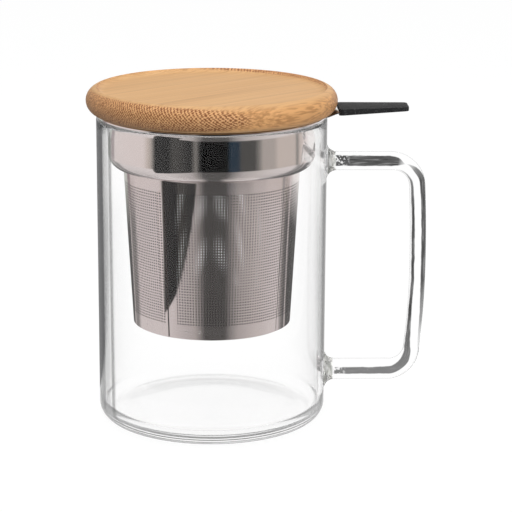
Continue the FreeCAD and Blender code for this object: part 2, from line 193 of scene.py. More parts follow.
def use_group(tree, group, **inputs):
    """Places a group, with numbers, colours or sockets on its inputs."""
    node = tree.nodes.new("ShaderNodeGroup")
    node.node_tree = group
    for name, value in inputs.items():
        feed(tree, node.inputs[name.replace("_", " ")], value)
    return node


room, entry, leave = new_group(
    "room_round_the_mug", [("Place", "Vector", None), ("Table", "Float", 0.0)], [("Colour", "Color")])
axes = split_xyz(room, entry.outputs["Place"])
bearing = maths(room, "ARCTAN2", axes["X"], times(room, axes["Y"], -1))
turn = scaled(room, bearing, 1 / (2 * math.pi), 0.5)
far_end = ramp(room, turn, [(0.5 + degrees / 360, colour) for degrees, colour in (
    (-180, panel_green), (-142, panel_green), (-138, panel_brown), (-131, panel_brown),
    (-127, panel_pale), (-77, panel_pale), (-71, panel_warm), (-67, panel_dim), (-64.5, panel_grey),
    (-62, room_dark), (-46, room_dark), (-42, room_grey), (-36, room_grey), (-22, room_dark),
    (-17, panel_grey), (-13, room_dark), (-10, room_black), (16, room_black),
    (19, room_blue), (27, room_blue), (31, room_grey), (45, room_grey), (50, panel_grey),
    (55, panel_dim), (68, panel_dim), (74, panel_warm), (98, panel_warm), (102, panel_grey),
    (107, panel_warm), (118, panel_pale), (126, panel_bright))])
table = ramp(room, turn, [(0.5 + degrees / 360, colour) for degrees, colour in (
    (-180, table_grey), (-140, table_grey), (-137, table_pale), (-133, table_dim), (-122, table_dim),
    (-114, table_pale), (-60, table_pale), (-22, table_mid), (-9, table_grey), (16, table_grey),
    (24, table_dim), (34, table_mid), (58, table_light), (82, table_pale), (98, table_pale),
    (107, table_dim), (116, table_grey), (119, table_pale), (123, table_grey))])
room.links.new(mixed(room, entry.outputs["Table"], far_end, table), leave.inputs["Colour"])


def seen_in_metal(tree):
    """Light Path masks: seen by the camera or through glass, seen in a mirror, seen in bare metal, and
    seen in any metal, which is bare or stands behind the glass wall."""
    path = tree.nodes.new("ShaderNodeLightPath")
    looked_at = maths(tree, "MAXIMUM", path.outputs["Is Camera Ray"], path.outputs["Is Transmission Ray"])
    mirrored = maths(tree, "GREATER_THAN", path.outputs["Glossy Depth"], 0.5)
    through_wall = maths(tree, "GREATER_THAN", path.outputs["Transmission Depth"], 2.5)
    in_the_open = maths(tree, "LESS_THAN", path.outputs["Transmission Depth"], 0.5)
    not_on_glass = maths(tree, "SUBTRACT", 1, path.outputs["Is Singular Ray"])
    open_metal = times(tree, in_the_open, not_on_glass)
    return looked_at, mirrored, open_metal, maths(tree, "MAXIMUM", through_wall, open_metal)


def show(tree, output, looked_at, plain, seen, mirrored, mirror):
    """Sends one shader to plain light, another to the eye and a third to mirrors."""
    straight = add_node(tree, "MixShader")
    whole = add_node(tree, "MixShader")
    for socket, value in (
            (straight.inputs[0], looked_at), (straight.inputs[1], plain.outputs[0]),
            (straight.inputs[2], seen.outputs[0]), (whole.inputs[0], mirrored),
            (whole.inputs[1], straight.outputs[0]), (whole.inputs[2], mirror.outputs[0]),
            (add_node(tree, output).inputs["Surface"], whole.outputs[0])):
        feed(tree, socket, value)


world = bpy.data.worlds.new("studio")
bpy.context.scene.world = world
world.use_nodes = True
sky = world.node_tree
sky.nodes.clear()
looked_at, mirrored, open_metal, any_metal = seen_in_metal(sky)
outward = add_node(sky, "TexCoord").outputs["Generated"]
height = split_xyz(sky, outward)["Z"]
overhead = maths(sky, "MINIMUM", scaled(sky, height, 3.0, -0.9), 1.0)
room_colour = use_group(sky, room, Place=outward, Table=maths(sky, "MAXIMUM", overhead, 0)).outputs[0]
ambient = add_node(sky, "Background", Color=(0.96, 0.98, 1.0, 1), Strength=0.40)
white = add_node(sky, "Background", Color=(1, 1, 1, 1), Strength=1.0)
mirror = add_node(sky, "Background", Strength=1.0)
upward = maths(sky, "GREATER_THAN", height, 0.02)
by_glass = mixed(sky, upward, edge_dark, edge_white)
by_metal = maths(sky, "MAXIMUM", open_metal, maths(sky, "SUBTRACT", any_metal, upward))
feed(sky, mirror.inputs["Color"], mixed(sky, by_metal, by_glass, room_colour))
show(sky, "OutputWorld", looked_at, ambient, white, mirrored, mirror)

bpy.ops.object.select_all(action="DESELECT")
bpy.ops.mesh.primitive_circle_add(
    vertices=96, radius=sweep_radius, fill_type="NGON", location=(0, 0, -0.2 * MM))
floor = bpy.context.object
floor.name = "floor"
paper = bpy.data.materials.new("white_sweep")
paper.use_nodes = True
tree = paper.node_tree
tree.nodes.clear()
looked_at, mirrored, open_metal, by_metal = seen_in_metal(tree)
spot = add_node(tree, "TexCoord").outputs["Object"]
distance = vector_maths(tree, "LENGTH", spot)
reach = maths(tree, "SUBTRACT", distance, table_reach)
nearness = maths(tree, "SUBTRACT", 1, maths(tree, "DIVIDE", reach, table_fade))
near = maths(tree, "MINIMUM", maths(tree, "MAXIMUM", nearness, 0), 1)
axes = split_xyz(tree, spot)
across_edge = scaled(tree, axes["Y"], paper_edge_slant, axes["X"])
off_paper = maths(tree, "LESS_THAN", across_edge, paper_edge_x)
ahead = scaled(tree, axes["Y"], -math.tan(corner_bearing), axes["X"])
dark_corner = times(tree, off_paper, maths(tree, "GREATER_THAN", ahead, 0))
on_paper = times(tree, near, maths(tree, "SUBTRACT", 1, dark_corner))
room_colour = use_group(tree, room, Place=spot, Table=on_paper).outputs[0]
mirror = add_node(tree, "Emission", Strength=1.0)
under_mug = maths(tree, "LESS_THAN", distance, under_mug_radius)
sideways = times(tree, maths(tree, "ABSOLUTE", axes["X"]), side_slope)
in_front = maths(tree, "LESS_THAN", axes["Y"], sideways)
behind = mixed(tree, maths(tree, "GREATER_THAN", axes["X"], 0), edge_dark, edge_mid)
by_glass = mixed(tree, maths(tree, "MAXIMUM", under_mug, in_front), behind, edge_white)
feed(tree, mirror.inputs["Color"], mixed(tree, by_metal, by_glass, room_colour))
card = add_node(tree, "BsdfDiffuse", Color=(0.55, 0.55, 0.55, 1))
glow = add_node(tree, "Emission", Color=(1, 1, 1, 1), Strength=1.07)
show(tree, "OutputMaterial", times(tree, looked_at, 0.9), card, glow, mirrored, mirror)
floor.data.materials.append(paper)

for lamp_name, place, size, power in (
        ("overhead_softbox", (-0.05, 0.10, 0.95), 0.9, 6.2),
        ("side_softbox", (0.75, -0.45, 0.55), 0.5, 2.0),
        ("front_softbox", (0.12, -0.85, 0.45), 0.6, 3.3)):
    lamp = bpy.data.lights.new(lamp_name, "AREA")
    lamp.size = size
    lamp.energy = power
    softbox = bpy.data.objects.new(lamp_name, lamp)
    bpy.context.scene.collection.objects.link(softbox)
    softbox.location = place
    aim = Vector(mug_middle) - softbox.location
    softbox.rotation_euler = aim.to_track_quat("-Z", "Y").to_euler()
    softbox.visible_camera = False
    softbox.visible_glossy = False
    softbox.visible_transmission = False

# Glass mug. The cup is blown in a turned mould, with a thick flat base and a melted round rim. Its
# handle is one bent glass rod, and both ends are melted into the wall until they flare.
mug_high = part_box("mug_body")[1]
handle_low, handle_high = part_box("mug_handle")
glass_radius = mug_high.x
glass_height = mug_high.z
glass_wall = 2.0 * MM
base_thickness = 3.6 * MM
outer_corner = 5.5 * MM
inner_corner = 5.0 * MM
base_hollow = 0.35 * MM
rod_radius_top = 3.5 * MM
rod_radius_upright = 3.0 * MM
rod_radius_bottom = 4.0 * MM
weld_flare = 3.2 * MM
weld_reach = 6.3 * MM
bend_radius = 9.0 * MM
upright_x = handle_high.x - 3.0 * MM
bow_middle = 60 * MM
bow_reach = 30 * MM
bow_above = 0.95 * MM
bow_below = 1.3 * MM
arm_start = 50 * MM
arm_middle = 55 * MM
painted_streak_reach = 4
melt_reach = 1.5 * MM
join_distance = 0.002 * MM
fused_clearness = 0.25
deep_ray = 4.5
deep_clearness = 0.35
top_arm_z = handle_high.z - weld_flare - 3.7 * MM
bottom_arm_z = handle_low.z + weld_flare + 3.4 * MM


def arc(x, z, radius, start, stop, count):
    """Points on an arc in the outline's plane, between two angles in degrees."""
    angles = [math.radians(start + (stop - start) * step / count) for step in range(count + 1)]
    return [(x + radius * math.cos(angle), z + radius * math.sin(angle)) for angle in angles]


def stretch(first, last, count):
    """Points that divide a straight run, without its two ends."""
    shares = [step / count for step in range(1, count)]
    return [tuple(a + (b - a) * share for a, b in zip(first, last)) for share in shares]


def new_plane(name, **settings):
    """A new plane, which is the only thing selected."""
    bpy.ops.object.select_all(action="DESELECT")
    bpy.ops.mesh.primitive_plane_add(**settings)
    piece = bpy.context.object
    piece.name = name
    piece.data.name = name
    return piece


def edit_all():
    """Enters edit mode with everything selected."""
    bpy.ops.object.mode_set(mode="EDIT")
    bpy.ops.mesh.select_all(action="SELECT")


def leave_outward():
    """Turns all faces outward and leaves edit mode."""
    bpy.ops.mesh.select_all(action="SELECT")
    bpy.ops.mesh.normals_make_consistent(inside=False)
    bpy.ops.object.mode_set(mode="OBJECT")


def extrude_by(x, y, z):
    """In edit mode, extrudes what is selected and moves it."""
    bpy.ops.mesh.extrude_region_move(TRANSFORM_OT_translate={"value": (x, y, z)})


def lathe(name, outline, steps=256, closed=False):
    """Draws an outline of (radius, height) points and spins it about the mug's axis."""
    piece = new_plane(name, size=MM)
    bpy.ops.object.mode_set(mode="EDIT")
    bpy.ops.mesh.select_mode(type="VERT")
    bpy.ops.mesh.select_all(action="SELECT")
    bpy.ops.mesh.merge(type="CENTER")
    bpy.ops.transform.translate(value=(outline[0][0], 0, outline[0][1]))
    loop = outline + [outline[0]] if closed else outline
    for (x, z), (next_x, next_z) in zip(loop, loop[1:]):
        extrude_by(next_x - x, 0, next_z - z)
    bpy.ops.mesh.select_all(action="SELECT")
    bpy.ops.mesh.remove_doubles(threshold=join_distance)
    bpy.ops.mesh.spin(steps=steps, angle=2 * math.pi, center=(0, 0, 0), axis=(0, 0, 1))
    bpy.ops.mesh.select_all(action="SELECT")
    bpy.ops.mesh.remove_doubles(threshold=join_distance)
    leave_outward()
    return piece


def take(piece):
    """Selects one object and nothing else, and makes it the active one."""
    bpy.ops.object.select_all(action="DESELECT")
    piece.select_set(True)
    bpy.context.view_layer.objects.active = piece


def smooth(piece, angle=35):
    """Smooth shading, except across edges sharper than the angle in degrees."""
    take(piece)
    bpy.ops.object.shade_smooth_by_angle(angle=math.radians(angle))


def finish_modifier(piece, kind, **settings):
    """Adds a modifier, sets it and applies it."""
    take(piece)
    modifier = piece.modifiers.new(kind.lower(), kind)
    for name, value in settings.items():
        setattr(modifier, name, value)
    bpy.ops.object.modifier_apply(modifier=modifier.name)


inner_radius = glass_radius - glass_wall
rim_z = glass_height - glass_wall / 2
wall_rows = 30
cup = lathe("mug_glass", (
    [(0, base_hollow), (18 * MM, base_hollow), (27 * MM, base_hollow * 0.6), (32 * MM, 0)]
    + arc(glass_radius - outer_corner, outer_corner, outer_corner, -90, 0, 12)
    + stretch((glass_radius, outer_corner), (glass_radius, rim_z), wall_rows)
    + arc(glass_radius - glass_wall / 2, rim_z, glass_wall / 2, 0, 180, 12)
    + stretch((inner_radius, rim_z), (inner_radius, base_thickness + inner_corner), wall_rows)
    + arc(inner_radius - inner_corner, base_thickness + inner_corner, inner_corner, 0, -90, 12)
    + [(26 * MM, base_thickness + 0.1 * MM), (14 * MM, base_thickness + 0.3 * MM),
       (0, base_thickness + 0.35 * MM)]))


def rod_run(points):
    """Extrudes the open end ring through (x, z, radius) places along the rod."""
    for (x, z, radius), (next_x, next_z, next_radius) in zip(points, points[1:]):
        extrude_by(next_x - x, 0, next_z - z)
        scale = next_radius / radius
        bpy.ops.transform.resize(value=(scale, scale, scale), center_override=(next_x, 0, next_z))


def rod_bend(x, z, start_angle, first_radius, last_radius, steps=14):
    """Carries the open end ring round a quarter bend, clockwise as the camera sees it."""
    places = arc(x, z, bend_radius, start_angle, start_angle - 90, steps)
    for step, (here, there) in enumerate(zip(places, places[1:])):
        centre = (there[0], 0, there[1])
        extrude_by(there[0] - here[0], 0, there[1] - here[1])
        bpy.ops.transform.rotate(value=-math.pi / 2 / steps, orient_axis="Y", center_override=centre)
        growth = (last_radius - first_radius) / steps
        scale = (first_radius + growth * (step + 1)) / (first_radius + growth * step)
        bpy.ops.transform.resize(value=(scale, scale, scale), center_override=centre)


def melted_end(z, rod_radius):
    """The flare of an arm as (x, z, radius), from the middle of the wall out to the plain rod."""
    swell = ((-glass_wall / MM / 2, 3.0), (0, 3.0), (0.25, 2.35), (0.55, 1.75), (0.9, 1.25), (1.3, 0.85),
             (1.7, 0.6), (2.1, 0.4), (2.5, 0.22), (3.0, 0.06), (3.5, 0))
    return [(glass_radius + out * MM, z, rod_radius + growth * MM) for out, growth in swell]


bpy.ops.object.select_all(action="DESELECT")
bpy.ops.mesh.primitive_circle_add(
    vertices=48, radius=rod_radius_top + 3.0 * MM, fill_type="NGON",
    location=(glass_radius - glass_wall / 2, 0, top_arm_z), rotation=(0, math.pi / 2, 0))
handle = bpy.context.object
handle.name = "handle"
bpy.ops.object.transform_apply(location=True, rotation=True, scale=True)
edit_all()
bend_x = upright_x - bend_radius
upright_top = top_arm_z - bend_radius
upright_bottom = bottom_arm_z + bend_radius
rod_run(melted_end(top_arm_z, rod_radius_top) + [
    (arm_middle, top_arm_z, rod_radius_top), (bend_x, top_arm_z, rod_radius_top)])
rod_bend(bend_x, upright_top, 90, rod_radius_top, rod_radius_upright)
upright_places = stretch((upright_x, upright_top), (upright_x, upright_bottom), 16)
rod_run([(x, z, rod_radius_upright) for x, z in
         [(upright_x, upright_top), *upright_places, (upright_x, upright_bottom)]])
rod_bend(bend_x, upright_bottom, 0, rod_radius_upright, rod_radius_bottom)
rod_run([(bend_x, bottom_arm_z, rod_radius_bottom), (arm_middle, bottom_arm_z, rod_radius_bottom)]
        + melted_end(bottom_arm_z, rod_radius_bottom)[::-1])
leave_outward()
mid_z = (upright_top + upright_bottom) / 2
rod_length = 2 * (bend_x - glass_radius) + math.pi * bend_radius + upright_top - upright_bottom
handle_map = handle.data.uv_layers.new(name="along_rod", do_init=False)
cup.data.uv_layers.new(name="along_rod", do_init=False)
rod_places = []
for vertex in handle.data.vertices:
    x, _, z = vertex.co
    core_x = min(x, bend_x)
    core_z = min(max(z, upright_bottom), upright_top)
    turned = math.atan2(x - core_x, abs(z - core_z))
    run = core_x - glass_radius + bend_radius * turned
    run += (upright_top - upright_bottom) / 2 - abs(core_z - mid_z)
    offset = math.hypot(x - core_x, z - core_z) - bend_radius
    rod_places.append((run if z > mid_z else rod_length - run, offset))
for loop in handle.data.loops:
    handle_map.data[loop.index].uv = rod_places[loop.vertex_index]
for vertex in handle.data.vertices:
    place = vertex.co
    melt = 1 - min(max((place.x - glass_radius) / melt_reach, 0), 1)
    place.x -= melt * (glass_radius - math.sqrt(glass_radius ** 2 - place.y ** 2))
    outwards = min(max((place.x - arm_start) / (bend_x - arm_start), 0), 1)
    rise = (place.z - bow_middle) / bow_reach
    place.x -= outwards * (bow_above * rise ** 2 if rise > 0 else bow_below * min(-rise, 1.1) ** 2.4)
finish_modifier(cup, "BOOLEAN", operation="UNION", solver="EXACT", object=handle)
bpy.data.objects.remove(handle)
smooth(cup, 60)


def new_material(name, **inputs):
    """A material, its tree, its Principled shader with constants set on it, and the place it reads."""
    material = bpy.data.materials.new(name)
    material.use_nodes = True
    shader = material.node_tree.nodes["Principled BSDF"]
    for socket_name, value in inputs.items():
        shader.inputs[socket_name.replace("_", " ")].default_value = value
    place = add_node(material.node_tree, "TexCoord").outputs["Object"]
    return material, material.node_tree, shader, place


def noise(tree, place, scale, detail=2.0, drawn_out=(1, 1, 1)):
    """Noise read at a place, with its own scale along each axis."""
    mapping = add_node(tree, "Mapping")
    feed(tree, mapping.inputs["Scale"], drawn_out)
    texture = add_node(tree, "TexNoise", Scale=scale, Detail=detail)
    feed(tree, mapping.inputs["Vector"], place)
    feed(tree, texture.inputs["Vector"], mapping.outputs["Vector"])
    return texture.outputs["Fac"]


def bumped(tree, shader, height, depth, strength):
    """Bump of a real depth from a height between 0 and 1."""
    bump = add_node(tree, "Bump", Strength=strength, Distance=depth)
    feed(tree, bump.inputs["Height"], height)
    feed(tree, shader.inputs["Normal"], bump.outputs["Normal"])


glass, tree, shader, place = new_material(
    "clear_glass", Roughness=0.0, IOR=1.47, Transmission_Weight=1.0, Specular_Tint=(0.2, 0.2, 0.2, 1))
axes = split_xyz(tree, place)
light_path = add_node(tree, "LightPath")
facing = add_node(tree, "LayerWeight", Blend=0.5).outputs["Facing"]
outer_side = maths(tree, "SUBTRACT", 1, add_node(tree, "NewGeometry").outputs["Backfacing"])
entering = times(tree, light_path.outputs["Is Camera Ray"], outer_side)
flow = noise(tree, place, 60, 1.0, (1, 1, 0.35))
# Painted shade: near its edges, as the camera sees them, the wall's colour falls to dark bands that stand
# in for dark surroundings refracted and mirrored in the glass; the right half, on the handle's side,
# darkens more.
wall_painted_shade = ramp(tree, facing, (
    (0.505, 1.0), (0.525, 0.60), (0.535, 0.20), (0.565, 0.20), (0.58, 0.80), (0.60, 0.64), (0.69, 0.60),
    (0.705, 0.09), (0.91, 0.08), (0.97, 0.3), (1.0, 0.5)))
right_painted_shade = ramp(tree, facing, (
    (0.66, 1.0), (0.70, 0.80), (0.74, 0.40), (0.78, 0.08), (0.82, 0.012), (0.95, 0.01), (1.0, 0.15)))
wall_painted_shade = mixed(tree, maths(tree, "GREATER_THAN", axes["X"], 0), wall_painted_shade, right_painted_shade)
radius = vector_maths(tree, "LENGTH", vector_maths(tree, "MULTIPLY", place, (1, 1, 0)))
on_cylinder = maths(tree, "GREATER_THAN", radius, glass_radius - glass_wall / 4)
on_corner = maths(tree, "LESS_THAN", axes["Z"], base_thickness - 0.1 * MM)
on_outside = maths(tree, "MAXIMUM", on_cylinder, on_corner)
rod_map = tree.nodes.new("ShaderNodeUVMap")
rod_map.uv_map = "along_rod"
rod_axes = split_xyz(tree, rod_map.outputs[0])
along = times(tree, rod_axes["X"], 1 / rod_length)
wobble = scaled(tree, noise(tree, place, 260, 2.0), 0.5, -0.25)
offset = scaled(tree, rod_axes["Y"], 1 / MM, wobble)


def painted_shade_streak(stops):
    """How strong a painted dark streak is in the rod, from (along, middle, half width, strength), lengths
    in mm.
    """
    guide = add_node(tree, "SeparateColor")
    feed(tree, guide.inputs[0], ramp(tree, along, [
        (run * MM / rod_length,
         ((middle + painted_streak_reach) / (2 * painted_streak_reach), half / painted_streak_reach, strength))
        for run, middle, half, strength in stops]))
    middle = scaled(tree, guide.outputs["Red"], 2 * painted_streak_reach, -painted_streak_reach)
    away = maths(tree, "ABSOLUTE", maths(tree, "SUBTRACT", offset, middle))
    inside = maths(tree, "SUBTRACT", times(tree, guide.outputs["Green"], painted_streak_reach), away)
    cover = maths(tree, "MINIMUM", maths(tree, "MAXIMUM", scaled(tree, inside, 3.5, 0.5), 0), 1)
    return times(tree, cover, guide.outputs["Blue"])


# Painted shade: an outer and an inner dark streak along the rod stand in for dark surroundings seen
# through the rod as through a lens.
outer_painted_shade_streak = painted_shade_streak((
    (2.6, 0.6, 1.95, 0), (2.9, 0.6, 1.95, 1), (25, 0.5, 1.9, 1), (28, 0.4, 1.4, 1), (29.8, 0.3, 0.2, 0.6),
    (30.4, 0.6, 0, 0), (31.2, 0.9, 0.1, 0.6), (34, 1.4, 0.9, 0.95), (38, 1.9, 1.2, 1), (42, 2.1, 1.2, 1),
    (76, 2.1, 1.15, 1), (92, 2.4, 0.75, 0.9), (103, 2.6, 0.4, 0.3), (108, 2.6, 0.3, 0)))
inner_painted_shade_streak = painted_shade_streak((
    (27, -2.7, 0, 0), (31, -2.5, 0.2, 0.7), (37, -2.2, 0.4, 0.95), (45, -2.0, 0.55, 1),
    (75, -1.95, 0.55, 1), (90, -2.1, 0.6, 1), (101, -1.8, 0.95, 0.98), (108, -1.15, 1.5, 0.97),
    (115, -0.55, 1.45, 0.96), (122, -0.4, 1.3, 0.96), (138.6, -0.4, 1.3, 0.96), (139, -0.4, 1.1, 0)))
seeds = ramp(tree, noise(tree, place, 900, 2.0), ((0.53, 0.0), (0.60, 1.0)))


def at_both_ends(full_until, none_from):
    """A mask on the rod that is full up to one distance from its ends and gone from another."""
    inner, outer = full_until / rod_length, none_from / rod_length
    return ramp(tree, along, ((inner, 1.0), (outer, 0.0), (1 - outer, 0.0), (1 - inner, 1.0)))


near_weld = at_both_ends(5.0 * MM, 8.5 * MM)
painted_shade_streaks = maths(tree, "MAXIMUM", outer_painted_shade_streak, inner_painted_shade_streak)
clear_seeds = times(tree, times(tree, seeds, near_weld), 0.8)
painted_shade_streaks = times(tree, painted_shade_streaks, maths(tree, "SUBTRACT", 1, clear_seeds))
# Painted shade: the rod also darkens towards its edges as the camera sees them.
rod_edge_painted_shade = ramp(tree, facing, ((0.60, 1.0), (0.80, 0.60), (1.0, 0.15)))
painted_streak_grain = ramp(tree, noise(tree, rod_map.outputs[0], 1, 3.0, (120, 1500, 1)), (
    (0.35, 0.003), (0.55, 0.012), (0.70, 0.07)))
rod_painted_shade_and_weld_marks = mixed(tree, painted_shade_streaks, rod_edge_painted_shade, painted_streak_grain)
weld_noise = noise(tree, place, 620, 2.0, (1, 1, 0.4))
weld_marks = ramp(tree, weld_noise, (
    (0.38, (0.12, 0.13, 0.10)), (0.46, (0.50, 0.51, 0.44)), (0.56, (0.90, 0.91, 0.85))))
in_weld = at_both_ends(2.9 * MM, 3.3 * MM)
rod_painted_shade_and_weld_marks = mixed(tree, in_weld, rod_painted_shade_and_weld_marks, weld_marks)
from_weld = maths(tree, "MINIMUM", *[
    maths(tree, "ABSOLUTE", maths(tree, "SUBTRACT", axes["Z"], z)) for z in (top_arm_z, bottom_arm_z)])
on_handle_side = maths(tree, "GREATER_THAN", axes["X"], glass_radius / 2)
by_weld = times(tree, maths(tree, "LESS_THAN", from_weld, weld_reach), on_handle_side)
above_corner = ramp(tree, times(tree, axes["Z"], 50), ((0.20, 0.75), (0.45, 1.0)))
on_wall = times(tree, times(tree, on_outside, above_corner), maths(tree, "SUBTRACT", 1, by_weld))
on_rod = maths(tree, "GREATER_THAN", rod_axes["X"], 0.3 * MM)
painted_shade_and_weld_marks = mixed(tree, on_rod, mixed(tree, on_wall, (1.0, 1.0, 1.0), wall_painted_shade), rod_painted_shade_and_weld_marks)
# The painted shade goes on the glass only where a camera ray enters it; everywhere else the glass is
# clear.
feed(tree, shader.inputs["Base Color"], mixed(tree, entering, (1.0, 1.0, 1.0), painted_shade_and_weld_marks))
fused = times(tree, in_weld, on_rod)
feed(tree, shader.inputs["Roughness"], times(tree, fused, 0.2))
deep = maths(tree, "GREATER_THAN", light_path.outputs["Ray Depth"], deep_ray)
clearness = maths(tree, "MAXIMUM", times(tree, fused, fused_clearness), times(tree, deep, deep_clearness))
feed(tree, shader.inputs["Alpha"], maths(tree, "SUBTRACT", 1, clearness))
bumped(tree, shader, flow, 0.05 * MM, 0.25)
cup.data.materials.clear()
cup.data.materials.append(glass)
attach(cup, "mug")
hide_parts("mug_body", "mug_handle")

# Infuser collar. It is a cup drawn from half-millimetre sheet and polished bright. The top is flared
# over the glass rim and folded back into a hem, and the shoulder turns in to a neck for the basket.
collar_low, collar_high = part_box("infuser_collar")
flange_radius = collar_high.x
flange_top = collar_high.z
flange_thickness = 1.3 * MM
flange_bottom = flange_top - flange_thickness
steel_sheet = 0.5 * MM
collar_radius = 38.2 * MM
flare_radius = 2.4 * MM
shoulder_radius = 5.4 * MM
neck_height = 4.0 * MM
neck_z = collar_low.z
shoulder_z = neck_z + neck_height
wall_low, wall_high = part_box("infuser_wall")
basket_sheet = 0.4 * MM
basket_top_radius = wall_high.x
basket_bottom_radius = 29.4 * MM
taper = (basket_top_radius - basket_bottom_radius) / (wall_high.z - wall_low.z)
neck_outer = basket_top_radius - basket_sheet - 0.05 * MM
neck_inner = neck_outer - steel_sheet
neck_drop = taper * neck_height
hem_radius = flange_thickness / 2
flare_x = collar_radius + flare_radius
flare_z = flange_bottom - flare_radius
shoulder_x = collar_radius - shoulder_radius
round_z = shoulder_z + shoulder_radius
bore = collar_radius - steel_sheet
collar = lathe("infuser_collar_steel", (
    [(neck_outer - neck_drop, neck_z), (neck_outer, shoulder_z - 0.4 * MM)]
    + arc(neck_outer + 0.4 * MM, shoulder_z - 0.4 * MM, 0.4 * MM, 180, 90, 4)
    + arc(shoulder_x, round_z, shoulder_radius, -90, 0, 24)
    + stretch((collar_radius, round_z), (collar_radius, flare_z), 4)
    + arc(flare_x, flare_z, flare_radius, 180, 90, 14)
    + arc(flange_radius - hem_radius, flange_bottom + hem_radius, hem_radius, -90, 90, 14)
    + [(flare_x + 0.25 * MM, flange_top), (flare_x, flange_top - 0.15 * MM)]
    + arc(flare_x, flare_z, flare_radius + steel_sheet, 90, 180, 14)
    + stretch((bore, flare_z), (bore, round_z), 4)
    + arc(shoulder_x, round_z, shoulder_radius - steel_sheet, 0, -90, 24)
    + arc(neck_inner + 0.9 * MM, shoulder_z - 0.4 * MM, 0.9 * MM, 90, 180, 4)
    + [(neck_inner - neck_drop, neck_z)]), closed=True)
smooth(collar)


steel_finish, entry, leave = new_group(
    "steel_finish",
    [("Place", "Vector", None), ("Tone", "Color", (0.8, 0.8, 0.8, 1)), ("Polish", "Float", 0.05),
     ("Grain", "Vector", (20, 20, 2000))],
    [("Colour", "Color"), ("Roughness", "Float"), ("Height", "Float")])
haze = noise(steel_finish, entry.outputs["Place"], 55, 4.0)
smudge = noise(steel_finish, entry.outputs["Place"], 24, 3.0)
smudge = ramp(steel_finish, smudge, ((0.52, 0.0), (0.68, 1.0)))
dimming = scaled(steel_finish, haze, -0.08, 1.02)
feed(steel_finish, leave.inputs["Colour"],
     vector_maths(steel_finish, "SCALE", entry.outputs["Tone"], dimming))
hazy = scaled(steel_finish, haze, 0.03, entry.outputs["Polish"])
feed(steel_finish, leave.inputs["Roughness"], scaled(steel_finish, smudge, 0.035, hazy))
feed(steel_finish, leave.inputs["Height"],
     noise(steel_finish, entry.outputs["Place"], 1, 2.0, entry.outputs["Grain"]))


def steel_look(name, tone, polish, grain, depth, glancing=1.0):
    """Stainless sheet: its tone, polish, the scale and depth of its grain, and its glint seen edge on."""
    material, tree, shader, place = new_material(
        name, Metallic=1.0, Specular_Tint=(glancing, glancing, glancing, 1))
    finish = use_group(tree, steel_finish, Place=place, Tone=(*tone, 1), Polish=polish, Grain=grain)
    feed(tree, shader.inputs["Base Color"], finish.outputs["Colour"])
    feed(tree, shader.inputs["Roughness"], finish.outputs["Roughness"])
    bumped(tree, shader, finish.outputs["Height"], depth, 0.5)
    return material


polished = steel_look("polished_steel", (0.88, 0.85, 0.84), 0.02, (20, 20, 2200), 0.004 * MM)
collar.data.materials.append(polished)
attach(collar, "infuser")
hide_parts("infuser_collar")

# Basket wall. Thin sheet is etched with a fine square grid of holes and rolled into a slight cone.
# Plain bands are left at its top and bottom, and its plain ends lap over each other at the seam.
hole_rows = 48
hole_columns = 184
hole_share = 0.56
field_bottom = 42.2 * MM
field_top = 91.7 * MM
field_start = math.radians(-25.5)
seam_width = math.radians(8)
under_end = math.radians(12)
over_end = math.radians(1.6)
lap_start = math.radians(360 - 38)
lap_rise = math.radians(1.5)
lap_lift = basket_sheet + 0.02 * MM
cut_edge_area = 0.2 * MM * MM
column_angle = (2 * math.pi - seam_width) / hole_columns
row_height = (field_top - field_bottom) / hole_rows


perforated = steel_look("perforated_steel", (0.80, 0.75, 0.74), 0.03, (700, 700, 14), 0.003 * MM)
# Painted shade: the inside of the sheet and the walls of the holes are near-black, so that the holes look
# dark as the shade inside the basket does.
inner_painted_shade = steel_look("inner_steel_painted_shade", (0.055, 0.052, 0.05), 0.35, (500, 500, 500), 0.02 * MM, 0.2)
painted_shade_in_holes = steel_look("hole_walls_painted_shade", (0.035, 0.033, 0.032), 0.40, (2000, 2000, 2000), 0.02 * MM, 0.2)


def give_sheet(piece):
    """Thickens a perforated surface inwards: bright outside, with near-black painted shade on the duller
    inside and in the holes.
    """
    piece.data.materials.clear()
    for sheet_face in (perforated, inner_painted_shade, painted_shade_in_holes):
        piece.data.materials.append(sheet_face)
    finish_modifier(piece, "SOLIDIFY", thickness=basket_sheet, offset=-1, material_offset=1,
                    material_offset_rim=2)
    for side in piece.data.polygons:
        if side.material_index == 2 and side.area > cut_edge_area:
            side.material_index = 0
    smooth(piece)


def select_parts(piece, kind, test):
    """Enters edit mode with the edges or faces that pass the test selected, and no others."""
    bpy.ops.object.mode_set(mode="EDIT")
    bpy.ops.mesh.select_mode(type=kind)
    bpy.ops.mesh.select_all(action="DESELECT")
    bpy.ops.object.mode_set(mode="OBJECT")
    points = piece.data.vertices
    for part in piece.data.edges if kind == "EDGE" else piece.data.polygons:
        part.select = test([points[index].co for index in part.vertices])
    bpy.ops.object.mode_set(mode="EDIT")


def hole_grid(name, columns, rows):
    """A flat sheet of unit cells, each with one eight-sided hole, from (0, 0) to (columns, rows)."""
    grid = new_plane(name, size=1, location=(0.5, 0.5, 0))
    bpy.ops.object.transform_apply(location=True, rotation=False, scale=False)
    bpy.ops.object.mode_set(mode="EDIT")
    bpy.ops.mesh.delete(type="ONLY_FACE")
    bpy.ops.mesh.primitive_circle_add(
        vertices=8, radius=hole_share / 2, fill_type="NOTHING", location=(0.5, 0.5, 0),
        rotation=(0, 0, math.pi / 8))
    bpy.ops.mesh.select_all(action="SELECT")
    bpy.ops.mesh.bridge_edge_loops()
    bpy.ops.object.mode_set(mode="OBJECT")
    for across, up, count in ((1, 0, columns), (0, 1, rows)):
        finish_modifier(
            grid, "ARRAY", count=count, relative_offset_displace=(across, up, 0),
            use_merge_vertices=True, merge_threshold=0.001)
    return grid


